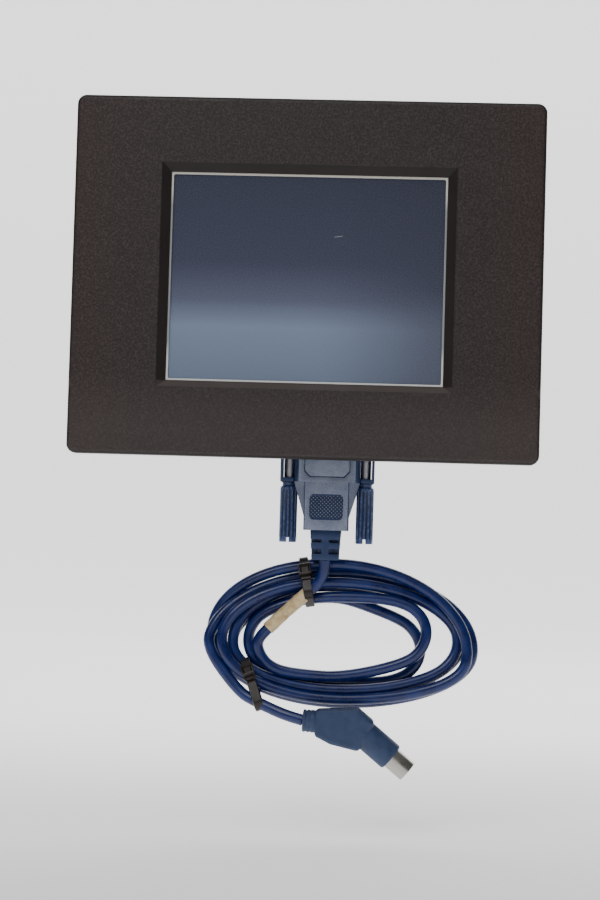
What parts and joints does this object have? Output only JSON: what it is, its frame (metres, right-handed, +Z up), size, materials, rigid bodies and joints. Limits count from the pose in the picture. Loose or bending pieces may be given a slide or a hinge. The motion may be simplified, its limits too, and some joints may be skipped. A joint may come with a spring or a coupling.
{
  "type": "hmi touch panel",
  "caption": "Landscape touch panel with a wide plain bezel and a shallow rear box for a cabinet door, with a coiled blue cable plugged in underneath.",
  "frame": {"origin": "centre of the door cut-out, in the plane where the gasket seats on the door's front face", "axes": "+X right as the operator sees it, +Y into the cabinet, +Z up"},
  "size_m": [0.201, 0.0567, 0.2896],
  "materials": {
    "bezel_plastic": "fine leather-like mould texture",
    "gasket_rubber": "closed-cell foam rubber",
    "seal_foam": "pale foam tape",
    "touch_film": "hard-coated polyester film",
    "touch_glass": "clear float glass",
    "flex_film": "amber polyimide flat cable",
    "tinned_steel": "tinned sheet steel",
    "lcd_glass": "dark liquid crystal cell",
    "light_guide": "milky acrylic",
    "lamp_glass": "white cold-cathode tube",
    "plated_steel": "zinc plated sheet steel",
    "circuit_board": "green solder resist",
    "chip_epoxy": "black moulded packages",
    "capacitor_can": "sleeved aluminium cans",
    "cell_steel": "stainless cell",
    "screw_steel": "zinc plated screw",
    "cover_plastic": "fine spark texture",
    "blank_label": "blank silver polyester label",
    "nickel_shell": "nickel plated pressed steel",
    "port_plastic": "glass-filled nylon",
    "nickel_parts": "nickel plated turned steel",
    "terminal_green": "green nylon",
    "hood_blue": "blue-grey moulded vinyl, fine texture",
    "contact_gold": "gold plated contacts",
    "cable_blue": "smooth blue vinyl jacket",
    "marker_sleeve": "cream wrapped marker sleeve",
    "tie_nylon": "black nylon",
    "boot_blue": "matte blue vinyl",
    "knob_blue": "blue nylon knob on a nickel plated screw",
    "washer_nylon": "blue nylon",
    "foot_plastic": "black nylon"
  },
  "bodies": {
    "housing": {"front_bezel": "bezel_plastic", "panel_gasket": "gasket_rubber", "screen_seal": "seal_foam", "touch_film": "touch_film", "touch_glass": "touch_glass", "touch_tail": "flex_film", "lcd_frame": "tinned_steel", "lcd_glass": "lcd_glass", "light_guide": "light_guide", "backlight_lamps": "lamp_glass", "lcd_tray": "tinned_steel", "display_plate": "plated_steel", "main_board": "circuit_board", "board_chips": "chip_epoxy", "board_capacitors": "capacitor_can", "coin_cell": "cell_steel", "inverter_board": "circuit_board", "display_ribbon": "flex_film", "chassis_screws": "screw_steel", "rear_cover": "cover_plastic", "cover_screws": "screw_steel", "rating_plate": "blank_label", "port15_shell": "nickel_shell", "port15_insulator": "port_plastic", "port9_shell": "nickel_shell", "port9_insulator": "port_plastic", "jack_sockets": "nickel_parts", "power_header": "terminal_green", "clamp_brackets": "plated_steel"},
    "power_plug": {"power_plug": "terminal_green"},
    "terminal_screw_1": {"terminal_screw_1": "screw_steel"},
    "terminal_screw_2": {"terminal_screw_2": "screw_steel"},
    "terminal_screw_3": {"terminal_screw_3": "screw_steel"},
    "clamp_foot_left_lower": {"clamp_foot_left_lower": "foot_plastic"},
    "clamp_screw_left_lower": {"clamp_screw_left_lower": "screw_steel"},
    "clamp_foot_left_upper": {"clamp_foot_left_upper": "foot_plastic"},
    "clamp_screw_left_upper": {"clamp_screw_left_upper": "screw_steel"},
    "clamp_foot_right_lower": {"clamp_foot_right_lower": "foot_plastic"},
    "clamp_screw_right_lower": {"clamp_screw_right_lower": "screw_steel"},
    "clamp_foot_right_upper": {"clamp_foot_right_upper": "foot_plastic"},
    "clamp_screw_right_upper": {"clamp_screw_right_upper": "screw_steel"},
    "cable_plug": {"plug_hood": "hood_blue", "plug_shell": "nickel_shell", "plug_insert": "port_plastic", "plug_pins": "contact_gold", "strain_relief": "hood_blue", "cable_lead": "cable_blue", "cable_coil": "cable_blue", "cable_tail": "cable_blue", "cable_label": "marker_sleeve", "cable_ties": "tie_nylon", "minidin_boot": "boot_blue", "minidin_shell": "nickel_shell", "minidin_insert": "port_plastic", "minidin_pins": "contact_gold"},
    "thumb_washer_left": {"thumb_washer_left": "washer_nylon"},
    "thumbscrew_left": {"thumbscrew_left": "knob_blue"},
    "thumb_washer_right": {"thumb_washer_right": "washer_nylon"},
    "thumbscrew_right": {"thumbscrew_right": "knob_blue"}
  },
  "joints": [
    {"name": "power_plug_pull", "type": "slide", "parent": "housing", "child": "power_plug", "axis": [0, 0, -1], "range_m": [0, 0.0095]},
    {"name": "terminal_screw_1_turn", "type": "hinge", "parent": "power_plug", "child": "terminal_screw_1", "pos_m": [0.05292, 0.026, -0.0675], "axis": [0, 1, 0], "continuous": true},
    {"name": "terminal_screw_2_turn", "type": "hinge", "parent": "power_plug", "child": "terminal_screw_2", "pos_m": [0.058, 0.026, -0.0675], "axis": [0, 1, 0], "continuous": true},
    {"name": "terminal_screw_3_turn", "type": "hinge", "parent": "power_plug", "child": "terminal_screw_3", "pos_m": [0.06308, 0.026, -0.0675], "axis": [0, 1, 0], "continuous": true},
    {"name": "clamp_left_lower_slide", "type": "slide", "parent": "housing", "child": "clamp_foot_left_lower", "axis": [0, 1, 0], "range_m": [-0.0045, 0.0085]},
    {"name": "clamp_left_lower_turn", "type": "hinge", "parent": "clamp_foot_left_lower", "child": "clamp_screw_left_lower", "pos_m": [-0.094, 0.03, -0.038], "axis": [0, 1, 0], "range_deg": [-2316, 4373]},
    {"name": "clamp_left_upper_slide", "type": "slide", "parent": "housing", "child": "clamp_foot_left_upper", "axis": [0, 1, 0], "range_m": [-0.0045, 0.0085]},
    {"name": "clamp_left_upper_turn", "type": "hinge", "parent": "clamp_foot_left_upper", "child": "clamp_screw_left_upper", "pos_m": [-0.094, 0.03, 0.038], "axis": [0, 1, 0], "range_deg": [-2316, 4373]},
    {"name": "clamp_right_lower_slide", "type": "slide", "parent": "housing", "child": "clamp_foot_right_lower", "axis": [0, 1, 0], "range_m": [-0.0045, 0.0085]},
    {"name": "clamp_right_lower_turn", "type": "hinge", "parent": "clamp_foot_right_lower", "child": "clamp_screw_right_lower", "pos_m": [0.094, 0.03, -0.038], "axis": [0, 1, 0], "range_deg": [-2316, 4373]},
    {"name": "clamp_right_upper_slide", "type": "slide", "parent": "housing", "child": "clamp_foot_right_upper", "axis": [0, 1, 0], "range_m": [-0.0045, 0.0085]},
    {"name": "clamp_right_upper_turn", "type": "hinge", "parent": "clamp_foot_right_upper", "child": "clamp_screw_right_upper", "pos_m": [0.094, 0.03, 0.038], "axis": [0, 1, 0], "range_deg": [-2316, 4373]},
    {"name": "cable_plug_pull", "type": "slide", "parent": "housing", "child": "cable_plug", "axis": [0, 0, -1], "range_m": [0, 0.0075]},
    {"name": "thumbscrew_left_slide", "type": "slide", "parent": "cable_plug", "child": "thumb_washer_left", "axis": [0, 0, -1], "range_m": [0, 0.0042]},
    {"name": "thumbscrew_left_turn", "type": "hinge", "parent": "thumb_washer_left", "child": "thumbscrew_left", "pos_m": [-0.00606, 0.0205, -0.0995], "axis": [0, 0, -1], "range_deg": [0, 2383]},
    {"name": "thumbscrew_right_slide", "type": "slide", "parent": "cable_plug", "child": "thumb_washer_right", "axis": [0, 0, -1], "range_m": [0, 0.0042]},
    {"name": "thumbscrew_right_turn", "type": "hinge", "parent": "thumb_washer_right", "child": "thumbscrew_right", "pos_m": [0.02726, 0.0205, -0.0995], "axis": [0, 0, -1], "range_deg": [0, 2383]}
  ],
  "couplings": [
    {"joint": "clamp_left_lower_turn", "follows": "clamp_left_lower_slide", "rad_per_m": 8976},
    {"joint": "clamp_left_upper_turn", "follows": "clamp_left_upper_slide", "rad_per_m": 8976},
    {"joint": "clamp_right_lower_turn", "follows": "clamp_right_lower_slide", "rad_per_m": 8976},
    {"joint": "clamp_right_upper_turn", "follows": "clamp_right_upper_slide", "rad_per_m": 8976},
    {"joint": "thumbscrew_left_turn", "follows": "thumbscrew_left_slide", "rad_per_m": 9894.8},
    {"joint": "thumbscrew_right_turn", "follows": "thumbscrew_right_slide", "rad_per_m": 9894.8}
  ]
}
